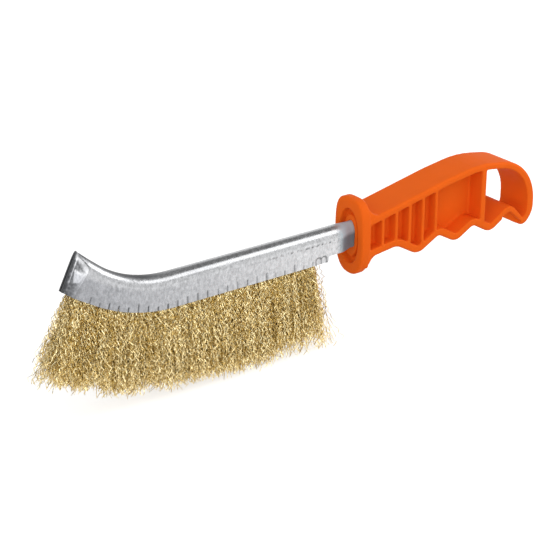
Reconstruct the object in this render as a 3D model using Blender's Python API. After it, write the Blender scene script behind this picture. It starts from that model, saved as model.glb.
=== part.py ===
"""Hand wire brush: a curved steel channel full of crimped wire, pushed into a plastic handle.

Metres, +Z up. X runs from the curved nose to the handle's loop, Y is across the brush, and
the wire tips stand on Z = 0. The origin lies under the middle of the whole brush.
"""
import math
import random

import bmesh
import bpy
from mathutils import Vector

MM = 0.001
FIT = 0.3 * MM  # clearance between pieces that fit each other

# Steel channel, folded from sheet: an upside-down U that holds the wires.
SHEET = 0.8 * MM
CHANNEL_WIDTH = 10.0 * MM
CHANNEL_HEIGHT = 14.8 * MM
STRAIGHT_LENGTH = 96.5 * MM  # from the start of the nose bend to the handle's guard
CROWN_STEPS = 6

# Nose: the mouth edge bends up and runs on straight, and its end is pinched flat.
NOSE_RADIUS = 74.0 * MM
NOSE_BEND = math.radians(31.5)
NOSE_STRAIGHT = 15.6 * MM
NOSE_TILT = math.radians(26.7)  # lean of the cut end
NOSE_STEPS = 8
PINCH_THICKNESS = 2.3 * MM
PINCH_RISE = 3.2 * MM
PINCH_CROWN_LENGTH = 9.0 * MM
PINCH_MOUTH_LENGTH = 3.5 * MM
PINCH_STEPS = 5

# Neck and tang: the walls step up, draw together and run into the handle.
WALL_STEP_DISTANCE = 15.5 * MM  # from the guard to the step in the walls
WALL_STEP_LENGTH = 1.0 * MM
WALL_STEP_HEIGHT = 2.9 * MM
NECK_LENGTH = 9.0 * MM
NECK_STEPS = 4
TANG_WIDTH = 5.6 * MM
TANG_MOUTH_WIDTH = 5.0 * MM
TANG_DEPTH = 43.0 * MM

# Wire fill: bundles folded over a core wire, side by side along the channel.
CORE_DIAMETER = 2.0 * MM
CORE_SIDES = 8
TUNNEL_SIDES = 6
HALVINGS = 24  # steps in the search for a wire's run
FILL_DISTANCE = 22.0 * MM  # from the guard to the first wire
FILL_NOSE_MARGIN = 6.0 * MM
BUNDLES = 10
BUNDLE_GAP = 0.4 * MM
WIRE_COLUMNS = 5
WIRE_ROWS = 3
ROOT_LEVEL = 3.0 * MM  # the wires part company this far inside the mouth
WIRE_LENGTH = 41.0 * MM
NOSE_WIRE_LENGTH = 38.0 * MM
WIRE_FADE = 43.0 * MM  # stretch over which the length changes
WIRE_TRIM = 0.5 * MM
WIRE_FAN = 8.5 * MM  # half the spread of the tips
WIRE_LEAN = 0.95  # share of the section's lean that the wires keep
WIRE_THICKNESS = 0.46  # share of the root facet left at the mouth
# Along a wire: share of its length, side it is bent to, size against its root.
WIRE_BENDS = [(0.0, 0.0, 1.0), (0.36, 1.0, 0.9), (0.70, -1.0, 0.8), (1.0, 0.0, 0.6)]
WIRE_CRIMP = 0.55 * MM
WIRE_SCATTER = 0.35 * MM
END_FLARE = math.radians(3.5)
END_FLARE_LENGTH = 14.0 * MM

# Handle: distances run from the guard's face, heights from the channel's crown.
HANDLE_WIDTH = 19.6 * MM
HANDLE_EDGE = 1.0 * MM
TOP_WALL = 3.1 * MM
LOOP_WALL = 4.3 * MM
GRIP_WALL = 3.7 * MM
ARC_STEP = math.radians(12.0)
GUARD_THICKNESS = 5.2 * MM
GUARD_WIDTH = 20.6 * MM
GUARD_HEIGHT = 37.0 * MM
GUARD_CENTRE = -7.3 * MM
GUARD_SQUARENESS = 2.8
GUARD_EDGE = 2.0 * MM
GUARD_SIDES = 32
RECESS_WIDTH = 13.4 * MM
RECESS_HEIGHT = 26.6 * MM
RECESS_DEPTH = 2.5 * MM
RECESS_SQUARENESS = 2.2
COLLAR_WIDTH = 9.6 * MM
COLLAR_HEIGHT = 20.6 * MM
COLLAR_DEPTH = 1.2 * MM
GUSSET_RADIUS = 5.0 * MM
GUSSET_STEPS = 5
FIRST_POCKET = 5.4 * MM
RIB_COUNT = 5
RIB_PITCH = 7.95 * MM
RIB_THICKNESS = 1.4 * MM
SLEEVE_WALL = 1.3 * MM
WEB_THICKNESS = 1.8 * MM
MAIN_POCKET_LENGTH = 27.35 * MM
POST_THICKNESS = 2.8 * MM
HOLE_LENGTH = 27.9 * MM
POST_DISTANCE = FIRST_POCKET + RIB_PITCH * RIB_COUNT + MAIN_POCKET_LENGTH
HANDLE_LENGTH = POST_DISTANCE + POST_THICKNESS + HOLE_LENGTH + LOOP_WALL

# Handle outline: distance, height, corner radius. Fingers lie in the notches of the grip.
# The corners past the ribs keep their places from the post, and the last ones from the end.
GRIP_CORNERS = [
    (21.5 * MM, -14.5 * MM, 8.0 * MM),
    (34.3 * MM, -21.9 * MM, 7.0 * MM),
    (46.9 * MM, -15.1 * MM, 3.5 * MM),
    (POST_DISTANCE - 14.8 * MM, -21.2 * MM, 6.0 * MM),
    (POST_DISTANCE - 4.0 * MM, -15.2 * MM, 3.5 * MM),
    (POST_DISTANCE + 7.0 * MM, -21.6 * MM, 6.0 * MM),
    (HANDLE_LENGTH - 19.0 * MM, -16.1 * MM, 3.5 * MM),
    (HANDLE_LENGTH - 5.6 * MM, -23.9 * MM, 4.5 * MM),
]
LOOP_CORNERS = [
    (HANDLE_LENGTH, -16.8 * MM, 10.0 * MM),
    (HANDLE_LENGTH, 9.2 * MM, 24.0 * MM),
]
TOP_CORNERS = [
    (POST_DISTANCE + 0.5 * MM, 14.3 * MM, 30.0 * MM),
    (POST_DISTANCE - 20.5 * MM, 11.2 * MM, 60.0 * MM),
]
GRIP_START = -16.8 * MM
LOWER_GUSSET = -15.9 * MM
UPPER_GUSSET = 3.2 * MM
TOP_START = 2.0 * MM
BODY_START = 3.0 * MM


def smooth(share):
    """Ease a share from 0 to 1, held at its ends."""
    share = min(max(share, 0.0), 1.0)
    return share * share * (3.0 - 2.0 * share)


def mix(start, end, share):
    return start + (end - start) * share


# ---------------------------------------------------------------- channel geometry
# A run is a distance along the mouth edge, counted from the start of the nose bend and
# growing towards the nose. It is negative along the straight part.
NOSE_RUN = NOSE_RADIUS * NOSE_BEND + NOSE_STRAIGHT
SPRING = CHANNEL_WIDTH / 2  # the crown's round part takes this much of the height
STEP_RUN = WALL_STEP_DISTANCE - STRAIGHT_LENGTH
NECK_START_RUN = NECK_LENGTH - STRAIGHT_LENGTH
TANG_START_RUN = -STRAIGHT_LENGTH
TANG_END_RUN = -STRAIGHT_LENGTH - TANG_DEPTH
FILL_START_RUN = FILL_DISTANCE - STRAIGHT_LENGTH
FILL_END_RUN = NOSE_RUN - FILL_NOSE_MARGIN


def tilt_at(run):
    """Lean of the section towards the nose."""
    return NOSE_TILT * min(max(run / NOSE_RUN, 0.0), 1.0)


def mouth_at(run):
    """Point on the mouth's middle line, from the start of the nose bend."""
    if run <= 0.0:
        return Vector((-run, 0.0, 0.0))
    angle = min(run / NOSE_RADIUS, NOSE_BEND)
    beyond = run - NOSE_RADIUS * angle
    reach = NOSE_RADIUS * math.sin(angle) + beyond * math.cos(angle)
    rise = NOSE_RADIUS * (1.0 - math.cos(angle)) + beyond * math.sin(angle)
    return Vector((-reach, 0.0, rise))


def height_at(run):
    """Height of the section: flattening the crown makes it taller."""
    return CHANNEL_HEIGHT + PINCH_RISE * max(run / NOSE_RUN, 0.0) ** 3


def place(run, across, level):
    """Point of the section at a run, across the brush and up from the mouth edge."""
    tilt = tilt_at(run)
    up = Vector((math.sin(tilt), 0.0, math.cos(tilt)))
    return mouth_at(run) + up * level + Vector((0.0, across, 0.0))


def half_widths(run):
    """Outer half widths of the section at its mouth and where its crown starts."""
    neck = smooth((NECK_START_RUN - run) / NECK_LENGTH)
    mouth = mix(CHANNEL_WIDTH, TANG_MOUTH_WIDTH, neck) / 2
    crown = mix(CHANNEL_WIDTH, TANG_WIDTH, neck) / 2
    mouth_pinch = smooth((run - NOSE_RUN + PINCH_MOUTH_LENGTH) / PINCH_MOUTH_LENGTH)
    crown_pinch = smooth((run - NOSE_RUN + PINCH_CROWN_LENGTH) / PINCH_CROWN_LENGTH)
    flat = PINCH_THICKNESS / 2
    return mix(mouth, flat, mouth_pinch), mix(crown, flat, crown_pinch)


def arch(run, inset, foot):
    """Section line from one foot over the crown to the other, inset from the outer face."""
    mouth_half, crown_half = half_widths(run)
    spring_level = height_at(run) - SPRING
    foot_half = mix(mouth_half, crown_half, foot / spring_level) - inset
    points = [place(run, -foot_half, foot)]
    for step in range(CROWN_STEPS + 1):
        angle = math.pi * step / CROWN_STEPS
        across = -math.cos(angle) * (crown_half - inset)
        level = spring_level + math.sin(angle) * (SPRING - inset)
        points.append(place(run, across, level))
    points.append(place(run, foot_half, foot))
    return points


def circle(run, radius, sides):
    """Ring round the core wire's line, which is the centre of the crown."""
    level = height_at(run) - SPRING
    points = []
    for step in range(sides):
        angle = 2.0 * math.pi * (step + 0.5) / sides
        across = math.cos(angle) * radius
        points.append(place(run, across, level + math.sin(angle) * radius))
    return points


def wire_length_at(run):
    share = smooth(1.0 + run / WIRE_FADE)
    return mix(WIRE_LENGTH, NOSE_WIRE_LENGTH, share)


def wire_tilt_at(run):
    """Lean of the wires, which flare a little where the fill ends at the neck."""
    flare = 1.0 - (run - FILL_START_RUN) / END_FLARE_LENGTH
    return tilt_at(run) * WIRE_LEAN - END_FLARE * smooth(flare)


# Middle of the outermost three-sided root, across the brush.
OUTER_ROOT = (CHANNEL_WIDTH / 2 - SHEET - FIT) * (1.0 - 2.0 / (3.0 * WIRE_ROWS))

# Place of the pieces in the brush's own frame.
MOUTH_Z = WIRE_LENGTH
CROWN_Z = MOUTH_Z + CHANNEL_HEIGHT
NOSE_REACH = (
    -mouth_at(FILL_END_RUN).x
    + NOSE_WIRE_LENGTH * math.sin(wire_tilt_at(FILL_END_RUN))
    - WIRE_TRIM * 2
)
OVERALL_LENGTH = NOSE_REACH + STRAIGHT_LENGTH + HANDLE_LENGTH
GUARD_X = OVERALL_LENGTH / 2 - HANDLE_LENGTH
CHANNEL_ORIGIN = Vector((GUARD_X - STRAIGHT_LENGTH, 0.0, MOUTH_Z))
HANDLE_ORIGIN = Vector((GUARD_X, 0.0, CROWN_Z))


# ---------------------------------------------------------------- Blender helpers
def material(name, colour, roughness, metallic):
    made = bpy.data.materials.new(name)
    made.use_nodes = True
    shader = made.node_tree.nodes["Principled BSDF"]
    shader.inputs["Base Color"].default_value = (*colour, 1.0)
    shader.inputs["Roughness"].default_value = roughness
    shader.inputs["Metallic"].default_value = metallic
    return made


def add_object(name, bm, finish, location, sharp=math.radians(35.0)):
    """Turn a bmesh into a named object that hangs on the brush's empty."""
    bmesh.ops.recalc_face_normals(bm, faces=bm.faces[:])
    mesh = bpy.data.meshes.new(name)
    bm.to_mesh(mesh)
    bm.free()
    mesh.materials.append(finish)
    mesh.shade_smooth()
    mesh.set_sharp_from_angle(angle=sharp)
    made = bpy.data.objects.new(name, mesh)
    bpy.context.scene.collection.objects.link(made)
    made.location = location
    made.parent = bpy.data.objects["wire_brush"]
    return made


def as_tool(tool):
    """Mark an object as a guide for a Boolean, which is no piece of the brush."""
    tool.hide_render = True
    tool.display_type = "WIRE"
    return tool


def add_boolean(target, tool, operation):
    modifier = target.modifiers.new(tool.name, "BOOLEAN")
    modifier.operation = operation
    modifier.solver = "EXACT"
    modifier.object = as_tool(tool)


def add_rings(bm, rings):
    """Join closed rings of points, one after the other, into the skin of a tube."""
    loops = [[bm.verts.new(point) for point in ring] for ring in rings]
    quads = []
    for first, second in zip(loops, loops[1:]):
        for index in range(len(first)):
            after = (index + 1) % len(first)
            corners = (first[index], first[after], second[after], second[index])
            quads.append(bm.faces.new(corners))
    return loops, quads


def loft(rings):
    """Solid bar through closed rings of points, with both ends filled."""
    bm = bmesh.new()
    loops, _ = add_rings(bm, rings)
    bm.faces.new(loops[0])
    bm.faces.new(loops[-1])
    bmesh.ops.recalc_face_normals(bm, faces=bm.faces[:])
    return bm


def prism(outline, half_width):
    """Solid between two sides at plus and minus a half width, from (distance, height)."""
    near = [Vector((x, -half_width, z)) for x, z in outline]
    far = [Vector((x, half_width, z)) for x, z in outline]
    return loft([near, far])


def filleted(corners):
    """Outline through corners of (distance, height, radius), rounded where it has one."""
    points = []
    for index, (x, z, radius) in enumerate(corners):
        corner = Vector((x, z))
        if radius == 0.0:
            points.append(corner)
            continue
        before = (Vector(corners[index - 1][:2]) - corner).normalized()
        after = (Vector(corners[(index + 1) % len(corners)][:2]) - corner).normalized()
        opening = before.angle(after)
        middle = corner + (before + after).normalized() * radius / math.sin(opening / 2)
        start = corner + before * radius / math.tan(opening / 2) - middle
        end = corner + after * radius / math.tan(opening / 2) - middle
        sweep = math.atan2(start.cross(end), start.dot(end))
        steps = max(2, math.ceil(abs(sweep) / ARC_STEP))
        for step in range(steps + 1):
            angle = sweep * step / steps
            turned = Vector((
                start.x * math.cos(angle) - start.y * math.sin(angle),
                start.x * math.sin(angle) + start.y * math.cos(angle),
            ))
            points.append(middle + turned)
    return points


def between(outline, low, high):
    """Part of an outline whose distance lies between two cuts square to X."""
    for limit, sign in ((low, 1.0), (high, -1.0)):
        kept = []
        for start, end in zip(outline, outline[1:] + outline[:1]):
            start_side = sign * (start.x - limit)
            end_side = sign * (end.x - limit)
            if start_side >= 0.0:
                kept.append(start)
            if start_side * end_side < 0.0:
                kept.append(start.lerp(end, start_side / (start_side - end_side)))
        outline = kept
    return outline


# ---------------------------------------------------------------- steel pieces
def channel_stations():
    """Runs at which the channel's section is set out, from the tang to the nose."""
    runs = [TANG_END_RUN, TANG_START_RUN - FIT]
    for step in range(NECK_STEPS + 1):
        runs.append(mix(TANG_START_RUN, NECK_START_RUN, step / NECK_STEPS))
    runs += [STEP_RUN - WALL_STEP_LENGTH, STEP_RUN - WALL_STEP_LENGTH / 3, STEP_RUN]
    pinch_start = NOSE_RUN - PINCH_CROWN_LENGTH
    for step in range(NOSE_STEPS):
        runs.append(pinch_start * step / NOSE_STEPS)
    for step in range(PINCH_STEPS):
        runs.append(pinch_start + PINCH_CROWN_LENGTH * step / PINCH_STEPS)
    runs += [NOSE_RUN - PINCH_MOUTH_LENGTH, NOSE_RUN]
    return sorted(runs)


def wall_foot(run):
    """Level of the walls' lower edge above the mouth line."""
    return WALL_STEP_HEIGHT * min(max((STEP_RUN - run) / WALL_STEP_LENGTH, 0.0), 1.0)


def make_channel(finish):
    rings = []
    for run in channel_stations():
        outer = arch(run, 0.0, wall_foot(run))
        inner = arch(run, SHEET, wall_foot(run))
        rings.append(outer + inner[::-1])
    add_object("steel_channel", loft(rings), finish, CHANNEL_ORIGIN)


def make_core_wire(finish):
    steps = BUNDLES * 2
    radius = CORE_DIAMETER / 2
    rings = []
    for step in range(steps + 1):
        run = mix(FILL_START_RUN, FILL_END_RUN, step / steps)
        if 0.0 < step < steps and run < 0.0:
            continue
        rings.append(circle(run, radius, CORE_SIDES))
    add_object("core_wire", loft(rings), finish, CHANNEL_ORIGIN)


# ---------------------------------------------------------------- wire bundles
def bundle_runs(number):
    """Where a bundle's slice of the fill starts and ends."""
    length = (FILL_END_RUN - FILL_START_RUN) / BUNDLES
    start = FILL_START_RUN + length * number
    return start + BUNDLE_GAP / 2, start + length - BUNDLE_GAP / 2


def root_row(run):
    """Points across the underside of the folded wires."""
    foot = arch(run, SHEET + FIT, ROOT_LEVEL)
    return [foot[-1].lerp(foot[0], row / WIRE_ROWS) for row in range(WIRE_ROWS + 1)]


def add_folded_roots(bm, start, end):
    """Slice of the wires folded over the core: returns the facets that the wires leave."""
    stations = [mix(start, end, step / WIRE_COLUMNS) for step in range(WIRE_COLUMNS + 1)]
    inset = SHEET + FIT
    outer_rings = []
    for run in stations:
        outer_rings.append(arch(run, inset, ROOT_LEVEL)[:-1] + root_row(run)[:-1])
    outer_loops, quads = add_rings(bm, outer_rings)
    radius = (CORE_DIAMETER / 2 + FIT) / math.cos(math.pi / TUNNEL_SIDES)
    tunnel_rings = [circle(run, radius, TUNNEL_SIDES) for run in stations]
    tunnel_loops, _ = add_rings(bm, tunnel_rings)
    for outer, tunnel in ((outer_loops[0], tunnel_loops[0]), (outer_loops[-1], tunnel_loops[-1])):
        edges = []
        for loop in (outer, tunnel):
            for first, second in zip(loop, loop[1:] + loop[:1]):
                edges.append(bm.edges.get((first, second)))
        bmesh.ops.bridge_loops(bm, edges=edges)
    around = len(outer_loops[0])
    underside = []
    for index, quad in enumerate(quads):
        if index % around >= around - WIRE_ROWS:
            underside.append(quad)
    if end <= 0.0:
        merge_straight_faces(bm, underside)
    cut = bmesh.ops.triangulate(bm, faces=underside)
    return cut["faces"]


def merge_straight_faces(bm, kept):
    """Join the flat strips of a straight slice, apart from the kept faces."""
    kept_edges = {edge for face in kept for edge in face.edges}
    kept_verts = {vert for face in kept for vert in face.verts}
    edges = [edge for edge in bm.edges if edge not in kept_edges]
    verts = [vert for vert in bm.verts if vert not in kept_verts]
    bmesh.ops.dissolve_limit(bm, angle_limit=math.radians(0.5), verts=verts, edges=edges)


def run_under(point, start, end):
    """Run whose section plane passes through a point, by halving the slice."""
    for _ in range(HALVINGS):
        middle = (start + end) / 2
        offset = point - mouth_at(middle)
        tilt = tilt_at(middle)
        if offset.x * math.cos(tilt) - offset.z * math.sin(tilt) < 0.0:
            start = middle
        else:
            end = middle
    return (start + end) / 2


def grow_wire(bm, facet, run, scatter):
    """Draw one crimped wire out of its facet, from the mouth to its tip."""
    root = facet.calc_center_median()
    corners = [vert.co - root for vert in facet.verts]
    tilt = wire_tilt_at(run)
    down = Vector((-math.sin(tilt), 0.0, -math.cos(tilt)))
    along = Vector((math.cos(tilt), 0.0, -math.sin(tilt)))
    length = wire_length_at(run) + WIRE_TRIM + scatter.uniform(0.0, WIRE_TRIM)
    spread = (WIRE_FAN / OUTER_ROOT - 1.0) * root.y
    stray = Vector((scatter.uniform(-1.0, 1.0), scatter.uniform(-1.0, 1.0), 0.0)) * WIRE_SCATTER
    mouth = mouth_at(run) + Vector((0.0, root.y, 0.0))
    for share, side, size in WIRE_BENDS:
        centre = mouth + down * length * share + along * WIRE_CRIMP * side
        centre += (stray + Vector((0.0, spread, 0.0))) * share
        facet = bmesh.ops.extrude_discrete_faces(bm, faces=[facet])["faces"][0]
        for vert, corner in zip(facet.verts, corners):
            vert.co = centre + corner * WIRE_THICKNESS * size


def trim_wires(bm):
    """Cut the tips level with the ground, the sides and the nose."""
    for vert in bm.verts:
        vert.co.x = max(vert.co.x, -NOSE_REACH)
        vert.co.y = min(max(vert.co.y, -WIRE_FAN), WIRE_FAN)
        vert.co.z = max(vert.co.z, -WIRE_LENGTH)


def make_bundle(number, finish):
    start, end = bundle_runs(number)
    scatter = random.Random(number)
    bm = bmesh.new()
    facets = add_folded_roots(bm, start, end)
    for facet in facets:
        centre = facet.calc_center_median()
        run = run_under(centre, start, end)
        grow_wire(bm, facet, run, scatter)
    trim_wires(bm)
    middle = mouth_at((start + end) / 2)
    bmesh.ops.translate(bm, vec=-middle, verts=bm.verts[:])
    add_object(f"bristle_bundle_{number + 1:02d}", bm, finish, CHANNEL_ORIGIN + middle)


# ---------------------------------------------------------------- handle
def inset_corners(corners, walls):
    """Corners of the line that runs a wall's thickness inside an outline."""
    lines = []
    for (x, z, _), (next_x, next_z, _), wall in zip(corners, corners[1:], walls):
        along = Vector((next_x - x, next_z - z)).normalized()
        inward = Vector((-along.y, along.x))
        lines.append((Vector((x, z)) + inward * wall, along))
    moved = [(*lines[0][0], 0.0)]
    for index, ((first, along), (second, onward)) in enumerate(zip(lines, lines[1:])):
        turn = along.cross(onward)
        distance = (second - first).cross(onward) / turn
        point = first + along * distance
        wall = (walls[index] + walls[index + 1]) / 2
        radius = corners[index + 1][2] - math.copysign(wall, turn)
        moved.append((*point, radius))
    last, along = lines[-1]
    end = Vector(corners[-1][:2]) - last
    moved.append((*(last + along * end.dot(along)), 0.0))
    return moved


def body_corners():
    start = [(BODY_START, GRIP_START, 0.0)]
    end = [(BODY_START, TOP_START, 0.0)]
    return start + GRIP_CORNERS + LOOP_CORNERS + TOP_CORNERS + end


def hollow_outline():
    grip_walls = [GRIP_WALL] * len(GRIP_CORNERS)
    walls = grip_walls + [GRIP_WALL, LOOP_WALL, TOP_WALL, TOP_WALL, TOP_WALL]
    return filleted(inset_corners(body_corners(), walls))


def make_body():
    bm = prism(filleted(body_corners()), HANDLE_WIDTH / 2)
    rim = [edge for edge in bm.edges if len({round(v.co.y, 6) for v in edge.verts}) == 1]
    bmesh.ops.bevel(
        bm, geom=rim, offset=HANDLE_EDGE, segments=1, affect="EDGES", profile=0.5, material=-1
    )
    return bm


def oval_ring(distance, width, height, squareness):
    """Oval round the guard's centre. Squareness 2 is an ellipse, and more is fuller."""
    points = []
    for step in range(GUARD_SIDES):
        angle = 2.0 * math.pi * step / GUARD_SIDES
        power = 2.0 / squareness
        across = math.copysign(abs(math.cos(angle)) ** power, math.cos(angle)) * width / 2
        level = math.copysign(abs(math.sin(angle)) ** power, math.sin(angle)) * height / 2
        points.append(Vector((distance, across, GUARD_CENTRE + level)))
    return points


def make_guard():
    bm = loft([
        oval_ring(0.0, GUARD_WIDTH, GUARD_HEIGHT, GUARD_SQUARENESS),
        oval_ring(GUARD_THICKNESS, GUARD_WIDTH, GUARD_HEIGHT, GUARD_SQUARENESS),
    ])
    rim = [edge for edge in bm.edges if len({round(v.co.x, 6) for v in edge.verts}) == 1]
    bmesh.ops.bevel(
        bm, geom=rim, offset=GUARD_EDGE, segments=2, affect="EDGES", profile=0.5, material=-1
    )
    return bm


def guard_half_width(level):
    """Half width of the guard's outline at a height from the crown."""
    share = abs(level - GUARD_CENTRE) / (GUARD_HEIGHT / 2)
    return (1.0 - share**GUARD_SQUARENESS) ** (1.0 / GUARD_SQUARENESS) * GUARD_WIDTH / 2


def make_gusset(level, upward):
    """Curved web that carries the grip's top or underside into the back of the guard."""
    rings = []
    for step in range(GUSSET_STEPS + 1):
        angle = math.pi / 2 * step / GUSSET_STEPS
        reach = GUARD_THICKNESS + GUSSET_RADIUS * (1.0 - math.cos(angle))
        height = level + upward * GUSSET_RADIUS * (1.0 - math.sin(angle))
        half = min(guard_half_width(height), HANDLE_WIDTH / 2) - HANDLE_EDGE / 2
        rings.append([
            Vector((BODY_START, -half, height)),
            Vector((reach, -half, height)),
            Vector((reach, half, height)),
            Vector((BODY_START, half, height)),
        ])
    inside = Vector((0.0, 0.0, -upward * TOP_WALL / 2))
    rings.append([point + inside for point in rings[-1]])
    return loft(rings)


def pocket_cuts():
    """Start, end and inner face of every hollow that opens on a side of the handle."""
    sleeve_half = TANG_WIDTH / 2 + FIT + SLEEVE_WALL
    cuts = []
    start = FIRST_POCKET
    for rib in range(RIB_COUNT):
        end = FIRST_POCKET + RIB_PITCH * (rib + 1) - RIB_THICKNESS
        cuts.append((start, end, sleeve_half))
        start = end + RIB_THICKNESS
    cuts.append((start, POST_DISTANCE, WEB_THICKNESS / 2))
    return cuts


def make_pockets():
    hollow = hollow_outline()
    bm = bmesh.new()
    side = HANDLE_WIDTH / 2 + HANDLE_EDGE
    for start, end, inner in pocket_cuts():
        outline = between(hollow, start, end)
        for sign in (-1.0, 1.0):
            rings = []
            for across in (inner, side):
                rings.append([Vector((point.x, sign * across, point.y)) for point in outline])
            loops, _ = add_rings(bm, rings)
            bm.faces.new(loops[0])
            bm.faces.new(loops[1])
    return bm


def make_hanging_hole():
    start = POST_DISTANCE + POST_THICKNESS
    outline = between(hollow_outline(), start, HANDLE_LENGTH)
    return prism(outline, HANDLE_WIDTH / 2 + HANDLE_EDGE)


def make_recess():
    """Oval hollow in the guard's face."""
    return loft([
        oval_ring(-HANDLE_EDGE, RECESS_WIDTH, RECESS_HEIGHT, RECESS_SQUARENESS),
        oval_ring(RECESS_DEPTH, RECESS_WIDTH, RECESS_HEIGHT, RECESS_SQUARENESS),
    ])


def make_collar():
    """Low boss in the recess, round the tang."""
    return loft([
        oval_ring(COLLAR_DEPTH, COLLAR_WIDTH, COLLAR_HEIGHT, RECESS_SQUARENESS),
        oval_ring(BODY_START, COLLAR_WIDTH, COLLAR_HEIGHT, RECESS_SQUARENESS),
    ])


def make_socket():
    """Slot that takes the tang, from the recess to just past the tang's end."""
    to_handle = CHANNEL_ORIGIN - HANDLE_ORIGIN
    section = arch(TANG_END_RUN, -FIT, wall_foot(TANG_END_RUN) - FIT)
    section = [point + to_handle for point in section]
    start = COLLAR_DEPTH / 2
    end = TANG_DEPTH + FIT
    rings = []
    for distance in (start, end):
        rings.append([Vector((distance, point.y, point.z)) for point in section])
    return loft(rings)


def make_handle(finish):
    handle = add_object("handle", make_body(), finish, HANDLE_ORIGIN)
    steps = (
        ("guard", make_guard(), "UNION"),
        ("lower_gusset", make_gusset(LOWER_GUSSET, -1.0), "UNION"),
        ("upper_gusset", make_gusset(UPPER_GUSSET, 1.0), "UNION"),
        ("pockets", make_pockets(), "DIFFERENCE"),
        ("hanging_hole", make_hanging_hole(), "DIFFERENCE"),
        ("recess", make_recess(), "DIFFERENCE"),
        ("collar", make_collar(), "UNION"),
        ("socket", make_socket(), "DIFFERENCE"),
    )
    for name, bm, operation in steps:
        add_boolean(handle, add_object(name, bm, finish, HANDLE_ORIGIN), operation)


def main():
    for old in list(bpy.data.objects):
        bpy.data.objects.remove(old)
    bpy.context.scene.collection.objects.link(bpy.data.objects.new("wire_brush", None))
    plastic = material("orange_plastic", (0.90, 0.15, 0.014), 0.45, 0.0)
    steel = material("galvanised_steel", (0.56, 0.57, 0.58), 0.38, 1.0)
    core = material("core_steel", (0.35, 0.35, 0.36), 0.45, 1.0)
    brass = material("brass_plated_wire", (0.74, 0.55, 0.22), 0.35, 1.0)
    make_handle(plastic)
    make_channel(steel)
    make_core_wire(core)
    for number in range(BUNDLES):
        make_bundle(number, brass)


main()
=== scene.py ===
"""Hand wire brush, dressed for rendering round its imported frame.

Metres, +Z up. X runs from the curved nose to the handle's loop, Y is across the brush, and
the wire tips stand on Z = 0.
"""
import math
import random

import bmesh
import bpy
from bpy.props import FloatProperty, FloatVectorProperty, IntProperty, PointerProperty
from mathutils import Matrix, Vector, noise


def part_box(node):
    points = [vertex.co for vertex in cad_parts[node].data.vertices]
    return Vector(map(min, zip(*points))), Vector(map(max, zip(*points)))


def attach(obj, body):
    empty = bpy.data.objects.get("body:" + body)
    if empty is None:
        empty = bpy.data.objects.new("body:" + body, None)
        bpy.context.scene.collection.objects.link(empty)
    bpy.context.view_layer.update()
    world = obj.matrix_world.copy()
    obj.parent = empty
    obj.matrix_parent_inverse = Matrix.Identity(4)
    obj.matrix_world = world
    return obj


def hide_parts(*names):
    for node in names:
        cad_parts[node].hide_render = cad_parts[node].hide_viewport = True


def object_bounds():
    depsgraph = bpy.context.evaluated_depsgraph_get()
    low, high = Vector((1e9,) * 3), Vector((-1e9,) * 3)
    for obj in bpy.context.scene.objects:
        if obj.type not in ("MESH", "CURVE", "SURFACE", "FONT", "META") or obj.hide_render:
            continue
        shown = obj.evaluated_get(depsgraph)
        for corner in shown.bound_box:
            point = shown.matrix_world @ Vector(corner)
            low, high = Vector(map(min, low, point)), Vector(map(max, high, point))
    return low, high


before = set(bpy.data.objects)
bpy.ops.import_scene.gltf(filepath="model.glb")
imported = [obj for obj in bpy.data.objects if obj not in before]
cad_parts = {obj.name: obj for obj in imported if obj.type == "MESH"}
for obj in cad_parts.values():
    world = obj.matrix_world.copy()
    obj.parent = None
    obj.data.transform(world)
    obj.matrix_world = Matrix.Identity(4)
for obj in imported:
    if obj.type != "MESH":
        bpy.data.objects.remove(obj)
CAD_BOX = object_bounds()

bl_info = {
    "name": "Wire Brush",
    "version": (1, 0, 0),
    "blender": (4, 5, 0),
    "location": "3D View > Sidebar > Wire Brush",
    "description": "Builds a hand wire brush and the stage it stands on",
    "category": "Add Mesh",
}

MM = 0.001
BODY = "root"

# Places taken from the frame.
GUARD_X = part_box("handle")[0].x
HANDLE_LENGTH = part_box("handle")[1].x - GUARD_X
GUARD_HALF_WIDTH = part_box("handle")[1].y
CHANNEL_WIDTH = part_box("steel_channel")[1].y * 2
BUNDLES = sum(name.startswith("bristle_bundle_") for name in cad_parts)

# Channel
SHEET = 0.8 * MM
MOUTH_Z = 41.0 * MM
CHANNEL_HEIGHT = 14.8 * MM
CROWN_Z = MOUTH_Z + CHANNEL_HEIGHT
STRAIGHT_LENGTH = 96.5 * MM
CROWN_STEPS = 20
WALL_STEPS = 30
NOSE_RADIUS = 74.0 * MM
NOSE_BEND = math.radians(31.5)
NOSE_STRAIGHT = 15.6 * MM
NOSE_TILT = math.radians(26.7)
NOSE_RUN = NOSE_RADIUS * NOSE_BEND + NOSE_STRAIGHT
PINCH_THICKNESS = 2.3 * MM
PINCH_RISE = 3.2 * MM
PINCH_FLAT = 0.9 * MM
PINCH_CROWN_LENGTH = 7.6 * MM
PINCH_MOUTH_LENGTH = 4.2 * MM
PINCH_CROWN_LEVEL = 15.0 * MM
WALL_STEP_DISTANCE = 15.5 * MM
WALL_STEP_LENGTH = 1.2 * MM
WALL_STEP_HEIGHT = 2.9 * MM
NECK_LENGTH = 7.5 * MM
TANG_WIDTH = 5.6 * MM
TANG_MOUTH_WIDTH = 5.0 * MM
TANG_DEPTH = 43.0 * MM
SPRING = CHANNEL_WIDTH / 2
STATIONS_START = 4.0 * MM
FINE_LENGTH = 10.0 * MM
SHARP_ANGLE = math.radians(38.0)
CHANNEL_ORIGIN = Vector((GUARD_X - STRAIGHT_LENGTH, 0.0, MOUTH_Z))
HANDLE_ORIGIN = Vector((GUARD_X, 0.0, CROWN_Z))

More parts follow.
